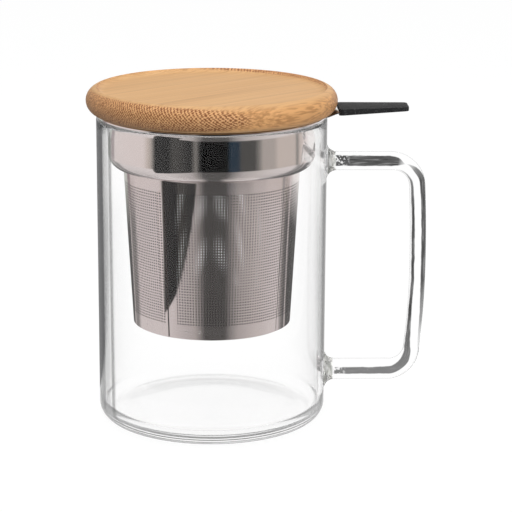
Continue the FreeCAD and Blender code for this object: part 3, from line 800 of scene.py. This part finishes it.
def basket_half(name, first_column, columns, laps_over):
    """Half of the wall: its holes, its plain bands, and its plain end, over or under the other half's."""
    half = hole_grid(name, columns, hole_rows)
    plain_columns = (over_end if laps_over else under_end) / column_angle
    seam_edge, outwards = (columns, 1) if laps_over else (0, -1)
    select_parts(half, "EDGE", lambda ends: all(abs(end.x - seam_edge) < 0.01 for end in ends))
    for share in (0.25, 0.2, 0.15, 0.15, 0.25):
        extrude_by(outwards * plain_columns * share, 0, 0)
    for row, height in ((hole_rows, wall_high.z - field_top), (0, wall_low.z - field_bottom)):
        select_parts(half, "EDGE", lambda ends: all(abs(end.y - row) < 0.01 for end in ends))
        for step in range(4):
            extrude_by(0, height / row_height / 4, 0)
    leave_outward()
    for vertex in half.data.vertices:
        across, up, _ = vertex.co
        z = field_bottom + up * row_height
        angle = field_start + (first_column + across) * column_angle
        lift = lap_lift * min(max((angle - lap_start) / lap_rise, 0), 1) if laps_over else 0
        radius = basket_bottom_radius + (z - wall_low.z) * taper + lift
        vertex.co = (radius * math.sin(angle), -radius * math.cos(angle), z)
    half.data.update()
    face = half.data.polygons[0]
    if face.normal.dot(face.center * Vector((1, 1, 0))) < 0:
        half.data.flip_normals()
    give_sheet(half)
    return half


half_columns = hole_columns // 2
for half in (basket_half("basket_wall_near", 0, half_columns, False),
             basket_half("basket_wall_far", half_columns, half_columns, True)):
    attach(half, "infuser")
    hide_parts("infuser_wall")

# Basket dish. A disc of the same sheet is etched with holes, pressed to a shallow dish and set up
# inside the wall, whose plain bottom band is spot-welded to the dish's lip.
dish_low, dish_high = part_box("infuser_base")
dish_hole_pitch = 1.03 * MM
dish_field_radius = 23.5 * MM
dish_corner = 1.0 * MM
dish_bottom = dish_low.z
dish_radius = dish_high.x - taper * (dish_high.z - dish_bottom - dish_corner)
dish_cells = 2 * round(dish_field_radius / dish_hole_pitch) + 1
flat_radius = dish_radius - dish_corner
on_line = 0.001 * MM


def outside_field(corners):
    """Whether a face of the cell grid belongs to a cell outside the dish's round field."""
    middle = sum(corners, Vector()) / len(corners)
    cell = Vector([math.floor(place) + 0.5 - dish_cells / 2 for place in middle.xy])
    return cell.length * dish_hole_pitch > dish_field_radius


dish = hole_grid("basket_dish", dish_cells, dish_cells)
select_parts(dish, "FACE", outside_field)
bpy.ops.mesh.delete(type="FACE")
bpy.ops.object.mode_set(mode="OBJECT")
for vertex in dish.data.vertices:
    vertex.co.x = (vertex.co.x - dish_cells / 2) * dish_hole_pitch
    vertex.co.y = (vertex.co.y - dish_cells / 2) * dish_hole_pitch
    vertex.co.z = dish_bottom
bpy.ops.object.mode_set(mode="EDIT")
bpy.ops.mesh.select_mode(type="EDGE")
bpy.ops.mesh.select_all(action="DESELECT")
bpy.ops.mesh.select_non_manifold(extend=False)
bpy.ops.object.mode_set(mode="OBJECT")
points = dish.data.vertices
field_outline = {
    edge.key for edge in dish.data.edges
    if edge.select and (points[edge.key[0]].co - points[edge.key[1]].co).length > 0.9 * dish_hole_pitch}
bpy.ops.object.mode_set(mode="EDIT")
bpy.ops.mesh.primitive_circle_add(
    vertices=192, radius=flat_radius, fill_type="NOTHING", location=(0, 0, dish_bottom))
bpy.ops.object.mode_set(mode="OBJECT")
for edge in dish.data.edges:
    ends = [dish.data.vertices[index].co for index in edge.vertices]
    on_circle = all(abs(end.xy.length - flat_radius) < on_line for end in ends)
    edge.select = edge.key in field_outline or on_circle
bpy.ops.object.mode_set(mode="EDIT")
bpy.ops.mesh.fill(use_beauty=True)
bpy.ops.object.mode_set(mode="OBJECT")
select_parts(dish, "EDGE", lambda ends: all(abs(end.xy.length - flat_radius) < on_line for end in ends))
lip = arc(flat_radius, dish_bottom + dish_corner, dish_corner, -90, 0, 6) + [(dish_high.x, dish_high.z)]
for (radius, z), (next_radius, next_z) in zip(lip, lip[1:]):
    extrude_by(0, 0, next_z - z)
    growth = next_radius / radius
    bpy.ops.transform.resize(value=(growth, growth, 1), center_override=(0, 0, next_z))
leave_outward()
if dish.data.polygons[0].normal.z > 0:
    dish.data.flip_normals()
give_sheet(dish)
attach(dish, "infuser")
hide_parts("infuser_base")

# Spot welds. Each is a shallow dimple with a raised edge, left by the welding tip where the wall is
# fixed to the dish's lip, with one more beside the seam.
weld_radius = 0.6 * MM
weld_rise = 0.12 * MM
weld_z = 40.0 * MM
weld_profile = ((0.7, 0.94), (0.3, 0.88), (-0.4, 0.75), (-0.5, 0.6))
weld_bearings = [math.radians(-9 + 45 * number) for number in range(8)] + [math.radians(-18)]
welds = []
for bearing in weld_bearings:
    bpy.ops.object.select_all(action="DESELECT")
    bpy.ops.mesh.primitive_circle_add(vertices=20, radius=weld_radius, fill_type="NGON")
    weld = bpy.context.object
    edit_all()
    for rise, growth in weld_profile:
        extrude_by(0, 0, weld_rise * rise)
        bpy.ops.transform.resize(value=(growth, growth, 1), center_override=(0, 0, 0))
    leave_outward()
    radius = basket_bottom_radius + (weld_z - wall_low.z) * taper - 0.02 * MM
    weld.data.transform(
        Matrix.Rotation(bearing, 4, "Z") @ Matrix.Translation((0, -radius, weld_z))
        @ Matrix.Rotation(math.pi / 2, 4, "X"))
    welds.append(weld)
bpy.ops.object.select_all(action="DESELECT")
for weld in welds:
    weld.select_set(True)
bpy.context.view_layer.objects.active = welds[0]
bpy.ops.object.join()
spot_welds = bpy.context.object
spot_welds.name = "basket_spot_welds"
smooth(spot_welds, 60)
spot_welds.data.materials.append(perforated)
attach(spot_welds, "infuser")

# Tab. A steel strip is welded to the flange's edge, cranked up past the lid and narrowed, and its
# far end carries the grip.
tab_low, tab_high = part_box("infuser_tab")
grip_low, grip_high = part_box("grip_sleeve")
tab_thickness = 0.6 * MM
tab_root_width = tab_high.y - tab_low.y
tab_end_width = 8.0 * MM
tab_mid_z = flange_top - flange_thickness / 2
tab_bend_x = grip_low.x - 0.4 * MM
tab_bend_z = tab_mid_z + 1.5 * MM
tab_end_z = tab_high.z - tab_thickness / 2


def bar(name, route, corner, corner_steps, sharp_angle):
    """A flat bar along X through (x, z, width, thickness) places, with its sharp edges rounded."""
    piece = new_plane(name, size=1, rotation=(0, math.pi / 2, 0))
    bpy.ops.object.transform_apply(location=True, rotation=True, scale=True)
    edit_all()
    bpy.ops.transform.resize(value=(1, route[0][2], route[0][3]), center_override=(0, 0, 0))
    bpy.ops.transform.translate(value=(route[0][0], 0, route[0][1]))
    for (x, z, width, depth), (next_x, next_z, next_width, next_depth) in zip(route, route[1:]):
        extrude_by(next_x - x, 0, next_z - z)
        bpy.ops.transform.resize(
            value=(1, next_width / width, next_depth / depth), center_override=(next_x, 0, next_z))
    leave_outward()
    finish_modifier(piece, "BEVEL", width=corner, segments=corner_steps, limit_method="ANGLE",
                    angle_limit=math.radians(sharp_angle))
    return piece


tab = bar("infuser_tab_strip", [(x, z, width, tab_thickness) for x, z, width in (
    (tab_low.x, tab_mid_z, tab_root_width),
    (flange_radius - 0.6 * MM, tab_mid_z, tab_root_width),
    (flange_radius + 0.4 * MM, tab_mid_z + 0.12 * MM, tab_root_width),
    (flange_radius + 1.2 * MM, tab_mid_z + 0.42 * MM, tab_root_width),
    (tab_bend_x - 0.9 * MM, tab_bend_z - 0.28 * MM, tab_root_width),
    (tab_bend_x, tab_bend_z, tab_root_width),
    (tab_high.x, tab_end_z, tab_end_width))], 0.12 * MM, 2, 60)
smooth(tab)
tab.data.materials.append(polished)
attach(tab, "infuser")
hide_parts("infuser_tab")

# Grip. A tapered sleeve of charcoal silicone, moulded with soft corners and pushed over the tab's
# end. Pale mineral specks show in its matt skin.
grip_root_width = grip_high.y - grip_low.y
grip_tip_width = 11.0 * MM
grip_root_thickness = 2.35 * MM
grip_tip_thickness = 1.4 * MM
grip_corner = 1.6 * MM
grip_root_z = tab_mid_z + 1.85 * MM
grip_tip_z = grip_high.z - grip_tip_thickness / 2
grip_length = grip_high.x - grip_low.x
corner_turns = [step * math.pi / 12 for step in range(7)]
plan = [(grip_corner * (1 - math.cos(turned)), grip_corner * (1 - math.sin(turned)))
        for turned in corner_turns]
stations = plan + [(grip_length * share, 0) for share in (0.25, 0.5, 0.75)]
stations += [(grip_length - along, inset) for along, inset in plan[::-1]]
route = []
for along, inset in stations:
    share = along / grip_length
    width = grip_root_width + (grip_tip_width - grip_root_width) * share - 2 * inset
    thickness = grip_root_thickness + (grip_tip_thickness - grip_root_thickness) * share
    route.append((grip_low.x + along, grip_root_z + (grip_tip_z - grip_root_z) * share, width, thickness))
grip = bar("grip_silicone", route, 0.45 * MM, 4, 50)
smooth(grip, 50)
silicone, tree, shader, place = new_material("black_silicone", Roughness=0.6, Specular_IOR_Level=0.25)
speck = add_node(tree, "TexVoronoi", Scale=2600)
feed(tree, speck.inputs["Vector"], place)
speck_size = maths(tree, "LESS_THAN", speck.outputs["Distance"], 0.34)
speck_tone = add_node(tree, "SeparateColor")
feed(tree, speck_tone.inputs[0], speck.outputs["Color"])
pale_speck = times(tree, speck_size, maths(tree, "GREATER_THAN", speck_tone.outputs[0], 0.62))
cloud = noise(tree, place, 300, 3.0)
skin = mixed(tree, cloud, (0.013, 0.0134, 0.0145), (0.024, 0.0244, 0.0255))
feed(tree, shader.inputs["Base Color"],
     mixed(tree, times(tree, pale_speck, speck_tone.outputs[1]), skin, (0.13, 0.13, 0.134)))
feed(tree, shader.inputs["Roughness"], scaled(tree, cloud, 0.2, 0.5))
bumped(tree, shader, noise(tree, place, 3500, 2.0), 0.05 * MM, 0.6)
grip.data.materials.append(silicone)
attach(grip, "infuser")
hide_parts("grip_sleeve")

# Lid. Bamboo slats on edge are glued into one board, which is turned to a disc with a round edge, a
# coved tray on top and a grooved spigot below, then sanded and oiled.
slat_names = sorted(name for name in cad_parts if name.startswith("lid_slat_"))
half_slats = len(slat_names) // 2
lid_radius = 46.2 * MM
lid_bottom = flange_top + 0.05 * MM
lid_thickness = 9.7 * MM
edge_radius = lid_thickness / 2
crest_inset = 3.9 * MM
cove_width = 3.1 * MM
recess_depth = 1.5 * MM
spigot_bottom = min(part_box(name)[0].z for name in slat_names)
spigot_radius = 35.6 * MM
groove_radius = 34.2 * MM
groove_low = spigot_bottom + 1.5 * MM
groove_high = groove_low + 3.0 * MM
grain_angle = math.radians(42)
slat_width = 6.6 * MM
bundle_pitch = 1.05 * MM
edge_x = lid_radius - edge_radius
edge_z = lid_bottom + edge_radius
crest_x = lid_radius - crest_inset
crest_angle = math.degrees(math.acos((crest_x - edge_x) / edge_radius))
crest_z = edge_z + edge_radius * math.sin(math.radians(crest_angle))
tray_x = crest_x - cove_width
tray_z = lid_bottom + lid_thickness - recess_depth
cove_drop = crest_z - tray_z
cove_radius = (cove_width ** 2 + cove_drop ** 2) / (2 * cove_drop)
cove_turn = math.degrees(math.asin(cove_width / cove_radius))
small_round = 0.35 * MM
board = lathe("lid_board", (
    [(0, spigot_bottom)]
    + arc(spigot_radius - small_round, spigot_bottom + small_round, small_round, -90, 0, 3)
    + [(spigot_radius, groove_low), (groove_radius, groove_low), (groove_radius, groove_high),
       (spigot_radius, groove_high), (spigot_radius, lid_bottom)]
    + arc(edge_x, edge_z, edge_radius, -90, crest_angle, 26)
    + arc(tray_x, tray_z + cove_radius, cove_radius, cove_turn - 90, -90, 8)
    + [(0, tray_z)]), steps=240)

bamboo, tree, shader, place = new_material("bamboo", Specular_IOR_Level=0.4)
turned = add_node(tree, "Mapping", Rotation=(0, 0, -grain_angle))
feed(tree, turned.inputs["Vector"], place)
grain = turned.outputs["Vector"]
axes = split_xyz(tree, grain)
slat_number = maths(tree, "FLOOR", scaled(tree, axes["Y"], 1 / slat_width, 50))
slat_tone = add_node(tree, "TexWhiteNoise")
slat_tone.noise_dimensions = "1D"
feed(tree, slat_tone.inputs["W"], slat_number)
fine = noise(tree, grain, 1, 3.0, (14, 1500, 900))
broad = noise(tree, grain, 1, 3.0, (9, 260, 160))
wander = noise(tree, grain, 1, 2.0, (300, 1000, 1000))
rows = [maths(tree, "SINE", scaled(tree, wander, 7.0, times(tree, axis, 2 * math.pi / pitch)))
        for axis, pitch in ((axes["Y"], bundle_pitch), (axes["Z"], bundle_pitch * 1.1))]
checker = scaled(tree, times(tree, *rows), 0.5, 0.5)
patchy = scaled(tree, noise(tree, grain, 1, 2.0, (300, 1800, 1800)), 1.15, -0.575)
dot = ramp(tree, maths(tree, "ADD", checker, patchy), ((0.38, 0.0), (0.64, 1.0)))
pale = (0.715, 0.445, 0.218)
tan = (0.565, 0.315, 0.135)
brown = (0.30, 0.135, 0.045)
end_gold = (0.70, 0.385, 0.17)
end_brown = (0.25, 0.09, 0.030)
body_colour = mixed(tree, broad, pale, tan)
body_colour = mixed(tree, times(tree, slat_tone.outputs["Value"], 0.35), body_colour, tan)
streak = ramp(tree, fine, ((0.30, 1.0), (0.52, 0.0)))
body_colour = mixed(tree, times(tree, streak, 0.45), body_colour, brown)
normal = add_node(tree, "NewGeometry").outputs["Normal"]
along_grain = (math.cos(grain_angle), math.sin(grain_angle), 0)
end_grain = maths(tree, "ABSOLUTE", vector_maths(tree, "DOT_PRODUCT", normal, along_grain))
end_share = ramp(tree, end_grain, ((0.36, 0.0), (0.50, 1.0)))
# Painted shade: the end grain darkens towards the lid's underside, where the round edge turns away from
# the light.
low_painted_shade = ramp(tree, scaled(tree, axes["Z"], 100, -lid_bottom * 100), (
    (0.0, 0.62), (0.45, 0.92), (0.75, 1.0)))
end_grain_with_painted_shade = vector_maths(tree, "SCALE", mixed(tree, dot, end_gold, end_brown), low_painted_shade)
upright = maths(tree, "ABSOLUTE", split_xyz(tree, normal)["Z"])
rim_share = ramp(tree, upright, ((0.55, 1.0), (0.9, 0.0)))
rim_colour = vector_maths(tree, "MULTIPLY", body_colour, (1.08, 0.98, 0.86))
dash = ramp(tree, noise(tree, grain, 1, 2.0, (110, 1300, 1300)), ((0.46, 0.0), (0.60, 0.55)))
body_colour = mixed(tree, rim_share, body_colour, mixed(tree, dash, rim_colour, brown))
feed(tree, shader.inputs["Base Color"], mixed(tree, end_share, body_colour, end_grain_with_painted_shade))
feed(tree, shader.inputs["Roughness"], scaled(tree, fine, 0.2, 0.42))
bumped(tree, shader, mixed(tree, end_share, fine, dot), 0.03 * MM, 0.5)
board.data.materials.append(bamboo)
smooth(board, 40)

across_grain = Vector((-math.sin(grain_angle), math.cos(grain_angle), 0))
for number, node_name in enumerate(slat_names):
    take(board)
    bpy.ops.object.duplicate()
    slat = bpy.context.object
    slat.name = node_name.replace("lid_slat", "lid_bamboo")
    slat.data.name = slat.name
    bpy.ops.object.mode_set(mode="EDIT")
    for joint, side in ((number - half_slats, -1), (number - half_slats + 1, 1)):
        if abs(joint) < half_slats:
            bpy.ops.mesh.select_all(action="SELECT")
            bpy.ops.mesh.bisect(
                plane_co=across_grain * joint * slat_width, plane_no=across_grain * side,
                use_fill=True, clear_outer=True, threshold=0.0001 * MM)
    bpy.ops.object.mode_set(mode="OBJECT")
    smooth(slat, 40)
    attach(slat, "lid")
    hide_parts(node_name)
bpy.data.objects.remove(board)

# Seal. A ring moulded from clear silicone, with two soft ribs, is stretched into the spigot's groove.
# The ribs wipe the inside of the collar and keep the lid from sliding off.
seal_low, seal_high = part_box("lid_seal")
rib_radius = 0.6 * MM
rib_x = seal_high.x - rib_radius
valley_x = rib_x - 0.3 * MM
valley_rise = 2 * rib_radius + 0.1 * MM
seal_inner = groove_radius + 0.05 * MM
seal = lathe("lid_seal_ring", (
    [(seal_inner, seal_low.z)] + stretch((seal_inner, seal_low.z), (rib_x, seal_low.z), 3)
    + arc(rib_x, seal_low.z + rib_radius, rib_radius, -90, 90, 10)
    + [(valley_x, seal_low.z + valley_rise), (valley_x, seal_high.z - valley_rise)]
    + arc(rib_x, seal_high.z - rib_radius, rib_radius, -90, 90, 10)
    + [(seal_inner, seal_high.z)]), closed=True)
smooth(seal)
clear, tree, shader, place = new_material(
    "clear_silicone", Transmission_Weight=0.55, IOR=1.41, Subsurface_Weight=0.3, Subsurface_Scale=0.002)
cloud = noise(tree, place, 400, 3.0)
feed(tree, shader.inputs["Base Color"], mixed(tree, cloud, (0.86, 0.87, 0.86), (0.78, 0.79, 0.78)))
feed(tree, shader.inputs["Roughness"], scaled(tree, cloud, 0.15, 0.25))
bumped(tree, shader, cloud, 0.02 * MM, 0.4)
seal.data.materials.append(clear)
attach(seal, "lid")
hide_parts("lid_seal")
